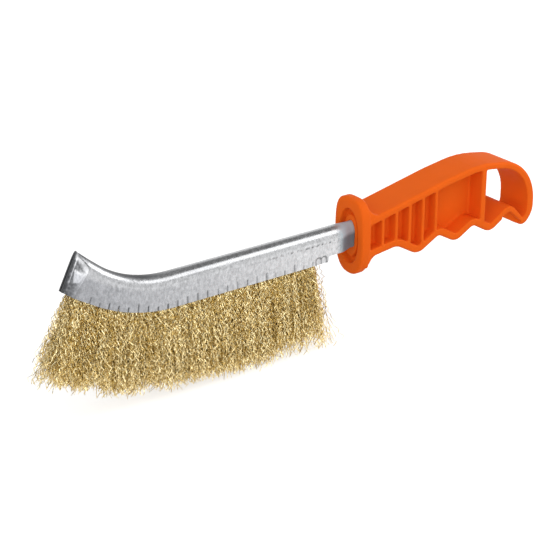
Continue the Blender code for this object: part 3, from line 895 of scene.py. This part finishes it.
def mark_channel(bm, layers):
    """Press the stake marks and dents into the walls, and paint shade into the stake marks and
    round the dents.
    """
    chance = random.Random(4)
    marks = stake_marks(chance)
    dents = [distance - STRAIGHT_LENGTH for distance in DENT_DISTANCES]
    for vert in bm.verts:
        run, level, outer = (vert[layers[name]] for name in ("run", "level", "outer"))
        if outer < 0.5 or level > height_at(run) - SPRING + 0.1 * MM:
            continue
        side = math.copysign(1.0, vert.co.y)
        pressed = 0.0
        dark = 0.0
        for start, height, depth in marks:
            near = ridge(run - start, STAKE_WIDTH) * depth
            fade = smooth((height - level) / STAKE_FADE)
            pressed += STAKE_DEPTH * near * fade
            # Painted shade in the pressed stake mark.
            dark = max(dark, min(0.75 * near * fade, 1.0))
        for start in dents:
            edge = math.hypot(run - start, max(level - DENT_HEIGHT + DENT_RADIUS, 0.0))
            pressed += DENT_DEPTH * smooth(1.4 - edge / DENT_RADIUS)
            # Painted shade round the dent's rim.
            dark = max(dark, 0.9 * ridge(edge - DENT_RADIUS, DENT_LINE))
        vert.co.y -= side * pressed
        vert[layers["wear"]] = max(vert[layers["wear"]], dark)


def make_channel(settings):
    stations = channel_stations(settings.station)
    bm = bmesh.new()
    order = bm.verts.layers.int.new("place")
    layers = {name: bm.verts.layers.float.new(name) for name in ("run", "level", "outer", "wear")}
    rings = []
    for run in stations:
        foot = wall_foot(run)
        rings.append(arch(run, 0.0, foot) + arch(run, SHEET, foot)[::-1])
    verts = [bm.verts.new(point) for point in rings[0]]
    for index, vert in enumerate(verts):
        vert[order] = index
    edges = [bm.edges.new(pair) for pair in zip(verts, verts[1:] + verts[:1])]
    first = list(edges)
    count = len(verts) // 2
    for run, ring in zip(stations, rings):
        if run != stations[0]:
            edges = sew(bm, edges, order, ring)
        for vert in {vert for edge in edges for vert in edge.verts}:
            vert[layers["run"]] = run
            vert[layers["level"]] = (vert.co - mouth_at(run)).dot(up_at(run))
            vert[layers["outer"]] = float(vert[order] < count)
            vert[layers["wear"]] = painted_light_at(run, vert[layers["level"]], vert.co)
    for loop in (first, edges):
        pairs = sorted({vert for edge in loop for vert in edge.verts}, key=lambda vert: vert[order])
        half = len(pairs) // 2
        for index in range(half - 1):
            quad = (pairs[index], pairs[index + 1], pairs[-2 - index], pairs[-1 - index])
            bmesh.ops.contextual_create(bm, geom=quad)
    bmesh.ops.recalc_face_normals(bm, faces=bm.faces[:])
    mark_channel(bm, layers)
    bmesh.ops.translate(bm, vec=CHANNEL_ORIGIN, verts=bm.verts[:])
    channel = add_object("folded_channel", bm, SHARP_ANGLE)
    dress(channel, steel_finish(settings.colour), "galvanised_steel", "steel_channel")


def inside(corners, point, blur):
    """1 inside a convex shape, 0 outside it, with a soft rim."""
    share = 1.0
    for start, end in zip(corners, corners[1:] + corners[:1]):
        along = (Vector(end) - Vector(start)).normalized()
        offset = along.cross(point - Vector(start))
        share *= smooth(0.5 - offset * MM / blur / 2.0)
    return share


def ridge(offset, width):
    """1 on a line, falling away to 0 over about its width."""
    return math.exp(-((offset / width) ** 2))


def painted_light_at(run, level, point):
    """Painted light at a point: above 0 is painted shade, and below 0 is a painted highlight."""
    end = NOSE_RUN - run
    height = height_at(run)
    spring_level = height - SPRING
    spot = Vector((end, level)) / MM
    place_on_sheet = Vector((run, point.y, level))
    cloudy = ramp(0.9 + 0.5 * noise.noise(place_on_sheet * CLOUD_SCALE))
    patchy = ramp(noise.noise(place_on_sheet * PATCH_SCALE) * 2.0 + 0.4)
    below = smooth((height - PINCH_SHADE_DROP - level) / PINCH_SHADE_RIM)
    crest_shade = smooth(1.1 - (height - level) / CREST_HEIGHT)
    spring_shade = ridge(level - spring_level + SPRING_SHADE_DROP, SPRING_SHADE_WIDTH)
    near_tang = smooth((-STRAIGHT_LENGTH + SPRING_SHADE_REACH - run) / SPRING_SHADE_FADE)
    dark = max(
        # Painted shade on the cut end, and over the pinched walls below the crown near the end.
        0.95 * smooth(1.2 - end / DARK_EDGE),
        0.95 * cloudy * below * smooth(1.2 - end / PINCH_SHADE_LENGTH),
        0.85 * cloudy * inside(END_SHADE, spot, END_RIM),
        0.9 * cloudy * inside(FOLD_SHADE, spot, FOLD_RIM),
        # Painted shade on the tang by the guard, where the walls turn in.
        0.9 * smooth((-STRAIGHT_LENGTH + TANG_SHADE_REACH - run) / TANG_SHADE_RIM),
        # Painted dark reflection along the top of the crown, growing towards the nose.
        0.95 * crest_shade * smooth((run - CREST_START) / CREST_FADE),
        # Painted shade in a patchy line along the spring line, stronger near the tang.
        spring_shade * patchy * mix(0.12, 0.9, near_tang),
    )
    # Painted highlight along the fold line near the end, and on the bright facet.
    fold_highlight = ridge(end - CREASE_DISTANCE, CREASE_WIDTH) * smooth(level / CREASE_START - 1.0)
    return dark - max(0.8 * fold_highlight, inside(HIGHLIGHT_FACET, spot, HIGHLIGHT_FACET_RIM))


# ---------------------------------------------------------------- fill
def wire_length_at(run):
    return mix(WIRE_LENGTH, NOSE_WIRE_LENGTH, smooth(1.0 + run / WIRE_FADE))


def wire_tilt_at(run):
    """Lean of the wires, which flare a little where the fill ends at the neck."""
    flare = 1.0 - (run - FILL_START_RUN) / END_FLARE_LENGTH
    return tilt_at(run) * WIRE_LEAN - END_FLARE * smooth(flare)


class Strand:
    """One crimped wire, from its root in the channel to its tip."""

    def __init__(self, run, across, chance, settings, loose=0.0):
        tilt = wire_tilt_at(run)
        self.down = Vector((-math.sin(tilt), 0.0, -math.cos(tilt)))
        self.along = Vector((math.cos(tilt), 0.0, -math.sin(tilt)))
        self.across = across
        self.mouth = mouth_at(run)
        self.length = wire_length_at(run) - abs(chance.gauss(0.0, TIP_SPREAD))
        if not loose:
            thin = smooth(1.0 - (run - FILL_START_RUN) / THIN_LENGTH)
            cut = mix(TIP_CUT, THIN_TIP_CUT, thin)
            self.length -= cut * chance.random() ** mix(1.4, 0.9, thin)
            tuft = noise.noise(Vector((run * TUFT_SCALES[0], across * TUFT_SCALES[1], 0.0)))
            self.length -= TUFT_DEPTH * ramp(tuft * 2.0)
        half = CHANNEL_WIDTH / 2 - SHEET
        self.spread = Vector((0.0, across * (settings.fan / half - 1.0), 0.0))
        self.spread += Vector((*(chance.gauss(0.0, size) for size in FAN_SCATTER), 0.0))
        self.stray = Vector((chance.gauss(loose, STRAY[0]), chance.gauss(0.0, STRAY[1]), 0.0))
        self.bends = settings.bends
        self.waves = []
        turn = chance.uniform(0.0, 2.0 * math.pi)
        size = settings.crimp * chance.uniform(0.7, 1.2)
        drift = Vector()
        for step in range(self.bends + 1):
            turn += math.pi + chance.gauss(0.0, 0.5)
            side = self.along * math.cos(turn) + Vector((0.0, math.sin(turn), 0.0))
            drift += self.along * chance.gauss(0.0, DRIFT[0])
            drift.y += chance.gauss(0.0, DRIFT[1])
            self.waves.append(drift + side * size * chance.uniform(0.4, 1.4))
        self.tone = chance.random()

    def centre(self, step):
        share = step / self.bends
        fall = share * (self.length + ROOT_LEVEL) - ROOT_LEVEL
        out = max(fall / self.length, 0.0)
        point = self.mouth + Vector((0.0, self.across, 0.0)) + self.down * fall
        point += self.spread * out + self.stray * out * out
        point += self.waves[step] * smooth(share * 6.0)
        point.x = max(point.x, FILL_END)
        point.y = min(max(point.y, -FILL_LIMIT), FILL_LIMIT)
        point.z = max(point.z, FLOOR_GAP - MOUTH_Z)
        return point


def scatter_roots(number, settings, chance):
    """Roots of one bundle, spread evenly over its slice of the channel's mouth."""
    length = (FILL_END_RUN - FILL_START_RUN) / BUNDLES
    start = FILL_START_RUN + length * number
    half = CHANNEL_WIDTH / 2 - SHEET - settings.radius
    rows = max(2, round(math.sqrt(settings.wires * 2.0 * half / length)))
    columns = max(2, round(settings.wires / rows))
    roots = []
    for column in range(columns):
        for row in range(rows):
            run = start + length * (column + chance.random()) / columns
            across = half * (2.0 * (row + chance.random()) / rows - 1.0)
            roots.append(Strand(run, across, chance, settings))
    return roots


def loose_strands(number, settings, chance):
    """Wires that stand off the fill at its two ends."""
    ends = {
        0: (FILL_START_RUN, 1.0, LOOSE_REACH_NECK),
        BUNDLES - 1: (FILL_END_RUN, -1.0, LOOSE_REACH_NOSE),
    }
    if number not in ends:
        return []
    run, inward, reach = ends[number]
    half = CHANNEL_WIDTH / 2 - SHEET - settings.radius
    strands = []
    for _ in range(LOOSE_WIRES):
        start = run + inward * chance.uniform(0.3, 2.5) * MM
        across = chance.uniform(-half, half)
        strands.append(Strand(start, across, chance, settings, reach * chance.uniform(0.2, 1.1)))
    return strands


def make_bundle(number, settings, finish):
    chance = random.Random(100 + number)
    strands = scatter_roots(number, settings, chance) + loose_strands(number, settings, chance)
    bm = bmesh.new()
    which = bm.faces.layers.int.new("which")
    corner = bm.verts.layers.int.new("corner")
    tone = bm.verts.layers.float.new("tone")
    for index, strand in enumerate(strands):
        spin = Matrix.Rotation(chance.uniform(0.0, 2.0), 4, "Z")
        where = Matrix.Translation(strand.centre(0)) @ spin
        ring = bmesh.ops.create_circle(
            bm, cap_ends=True, segments=3, radius=settings.radius, matrix=where
        )["verts"]
        for vert in ring:
            vert[tone] = strand.tone
        ring[0].link_faces[0][which] = index
    bm.faces.ensure_lookup_table()
    offsets = {}
    for face in bm.faces:
        middle = strands[face[which]].centre(0)
        offsets[face[which]] = [vert.co - middle for vert in face.verts]
        for place_in_ring, vert in enumerate(face.verts):
            vert[corner] = place_in_ring
    faces = bm.faces[:]
    for step in range(1, settings.bends + 1):
        faces = bmesh.ops.extrude_discrete_faces(bm, faces=faces)["faces"]
        for face in faces:
            strand = strands[face[which]]
            middle = strand.centre(step)
            for vert in face.verts:
                vert.co = middle + offsets[face[which]][vert[corner]]
    open_edges = [edge for edge in bm.edges if edge.is_boundary]
    bmesh.ops.holes_fill(bm, edges=open_edges, sides=3)
    bmesh.ops.recalc_face_normals(bm, faces=bm.faces[:])
    bmesh.ops.translate(bm, vec=CHANNEL_ORIGIN, verts=bm.verts[:])
    bundle = add_object(f"crimped_wires_{number + 1:02d}", bm, 0.0)
    dress(bundle, finish, "brass_plated_wire", f"bristle_bundle_{number + 1:02d}")


# ---------------------------------------------------------------- stage
CAMERA_TURN = math.radians(-35.8)
CAMERA_RISE = math.radians(24.1)
CAMERA_DISTANCE = 0.729
AIM = Vector((-13.75 * MM, 0.0, 36.5 * MM))
LAMP_DISTANCE = 1.3


def direction(turn, rise):
    """Unit vector from the brush, turned from -Y towards +X and raised."""
    level = math.cos(rise)
    return Vector((math.sin(turn) * level, -math.cos(turn) * level, math.sin(rise)))


def look_at(thing, place_from, target):
    thing.location = place_from
    thing.rotation_euler = (target - place_from).to_track_quat("-Z", "Y").to_euler()


def add_lamp(name, towards, power, size):
    lamp = bpy.data.lights.new(name, "AREA")
    lamp.shape = "DISK"
    lamp.size = size
    lamp.energy = power
    made = bpy.data.objects.new(name, lamp)
    bpy.context.scene.collection.objects.link(made)
    look_at(made, AIM + towards * LAMP_DISTANCE, AIM)


def seen_ray(finish):
    """1 for rays from the camera and for mirrored or passing rays, 0 for the light's own."""
    seen = finish.node("ShaderNodeLightPath", output="Is Camera Ray")
    for name in ("Is Glossy Ray", "Is Transmission Ray"):
        path = finish.node("ShaderNodeLightPath", output=name)
        seen = seen.math("MAXIMUM", seen, path)
    return seen


def make_floor(settings):
    bm = bmesh.new()
    bmesh.ops.create_circle(bm, cap_ends=True, segments=96, radius=6.0)
    floor = add_object("floor", bm)
    finish = Finish("floor_paper", Roughness=1.0, Emission_Strength=0.6)
    finish.shader.inputs["Specular IOR Level"].default_value = 0.0
    fibre = finish.noise(40.0, 3.0)
    pale = finish.spread(fibre, 0.3, 0.7)
    tint = finish.blend(pale, shade(settings.floor, 0.99), shade(settings.floor, 1.0))
    white = finish.blend(seen_ray(finish), (0.0, 0.0, 0.0, 1.0), (1.0, 1.0, 1.0, 1.0))
    finish.feed(Base_Color=tint, Emission_Color=white)
    floor.data.materials.append(finish.block)


def make_sky():
    """White at the horizon and dim overhead, so that the steel shows a light and a dark band."""
    sky = Finish("studio", bpy.data.worlds, "Background")
    upward = sky.node("ShaderNodeTexCoord", output="Generated")
    upward = sky.node("ShaderNodeSeparateXYZ", sockets={"Vector": upward}, output="Z")
    mirrored = sky.spread(upward, 0.42, 0.62, 1.0, 0.26)
    soft = sky.spread(upward, 0.3, 0.7, 1.0, 0.5)
    seen = seen_ray(sky)
    level = mirrored * seen + soft * (1 - seen)
    sky.feed(Color=sky.blend(level, (0.0, 0.0, 0.0, 1.0), (1.0, 1.0, 1.0, 1.0)))
    return sky.block


class OBJECT_OT_brush_handle(bpy.types.Operator):
    """Mould the handle with its guard, ribs and hanging loop"""

    bl_idname = "wire_brush.make_handle"
    bl_label = "Make Handle"

    def execute(self, context):
        make_handle(context.scene.brush_handle)
        return {"FINISHED"}


class OBJECT_OT_brush_channel(bpy.types.Operator):
    """Fold the steel channel with its pinched nose and tang"""

    bl_idname = "wire_brush.make_channel"
    bl_label = "Make Channel"

    def execute(self, context):
        make_channel(context.scene.brush_channel)
        return {"FINISHED"}


class OBJECT_OT_brush_core(bpy.types.Operator):
    """Give the hidden core wire its finish"""

    bl_idname = "wire_brush.make_core"
    bl_label = "Finish Core Wire"

    def execute(self, context):
        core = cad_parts["core_wire"]
        finish = core_finish()
        for slot in core.material_slots:
            slot.material = finish
        return {"FINISHED"}


class OBJECT_OT_brush_fill(bpy.types.Operator):
    """Grow the crimped wires, bundle by bundle"""

    bl_idname = "wire_brush.make_fill"
    bl_label = "Make Wires"

    def execute(self, context):
        settings = context.scene.brush_fill
        finish = brass_finish(settings.colour)
        for number in range(BUNDLES):
            make_bundle(number, settings, finish)
        return {"FINISHED"}


class OBJECT_OT_brush_stage(bpy.types.Operator):
    """Lay the floor, and set up the lamps, the sky and the camera"""

    bl_idname = "wire_brush.make_stage"
    bl_label = "Make Stage"

    def execute(self, context):
        settings = context.scene.brush_stage
        make_floor(settings)
        context.scene.world = make_sky()
        for name, turn, rise, size in LAMPS:
            towards = direction(math.radians(turn), math.radians(rise))
            add_lamp(f"{name}_lamp", towards, getattr(settings, f"{name}_power"), size)
        context.scene.view_settings.view_transform = "Standard"
        camera = bpy.data.cameras.new("camera")
        camera.lens = settings.lens
        eye = bpy.data.objects.new("camera", camera)
        context.scene.collection.objects.link(eye)
        look_at(eye, AIM + direction(CAMERA_TURN, CAMERA_RISE) * CAMERA_DISTANCE, AIM)
        context.scene.camera = eye
        return {"FINISHED"}


class VIEW3D_PT_wire_brush(bpy.types.Panel):
    bl_label = "Wire Brush"
    bl_space_type = "VIEW_3D"
    bl_region_type = "UI"
    bl_category = "Wire Brush"

    def draw(self, context):
        for operator, (group, names) in PANEL_BOXES.items():
            box = self.layout.box()
            for name in names:
                box.prop(getattr(context.scene, group), name)
            box.operator("wire_brush." + operator)


PANEL_BOXES = {
    "make_handle": ("brush_handle", ("colour", "edge", "grain", "softening")),
    "make_channel": ("brush_channel", ("colour", "station")),
    "make_core": ("", ()),
    "make_fill": ("brush_fill", ("colour", "wires", "radius", "fan", "crimp", "bends")),
    "make_stage": ("brush_stage", ("floor", "key_power", "front_power", "end_power", "lens")),
}
CLASSES = (
    HandleSettings,
    ChannelSettings,
    FillSettings,
    StageSettings,
    OBJECT_OT_brush_handle,
    OBJECT_OT_brush_channel,
    OBJECT_OT_brush_core,
    OBJECT_OT_brush_fill,
    OBJECT_OT_brush_stage,
    VIEW3D_PT_wire_brush,
)
GROUPS = {
    "brush_handle": HandleSettings,
    "brush_channel": ChannelSettings,
    "brush_fill": FillSettings,
    "brush_stage": StageSettings,
}


def register():
    for item in CLASSES:
        bpy.utils.register_class(item)
    for name, group in GROUPS.items():
        setattr(bpy.types.Scene, name, PointerProperty(type=group))


def unregister():
    for name in GROUPS:
        delattr(bpy.types.Scene, name)
    for item in reversed(CLASSES):
        bpy.utils.unregister_class(item)


def main():
    register()
    bpy.ops.wire_brush.make_stage()
    bpy.ops.wire_brush.make_core()
    bpy.ops.wire_brush.make_channel()
    bpy.ops.wire_brush.make_fill()
    bpy.ops.wire_brush.make_handle()


if __name__ == "__main__":
    main()
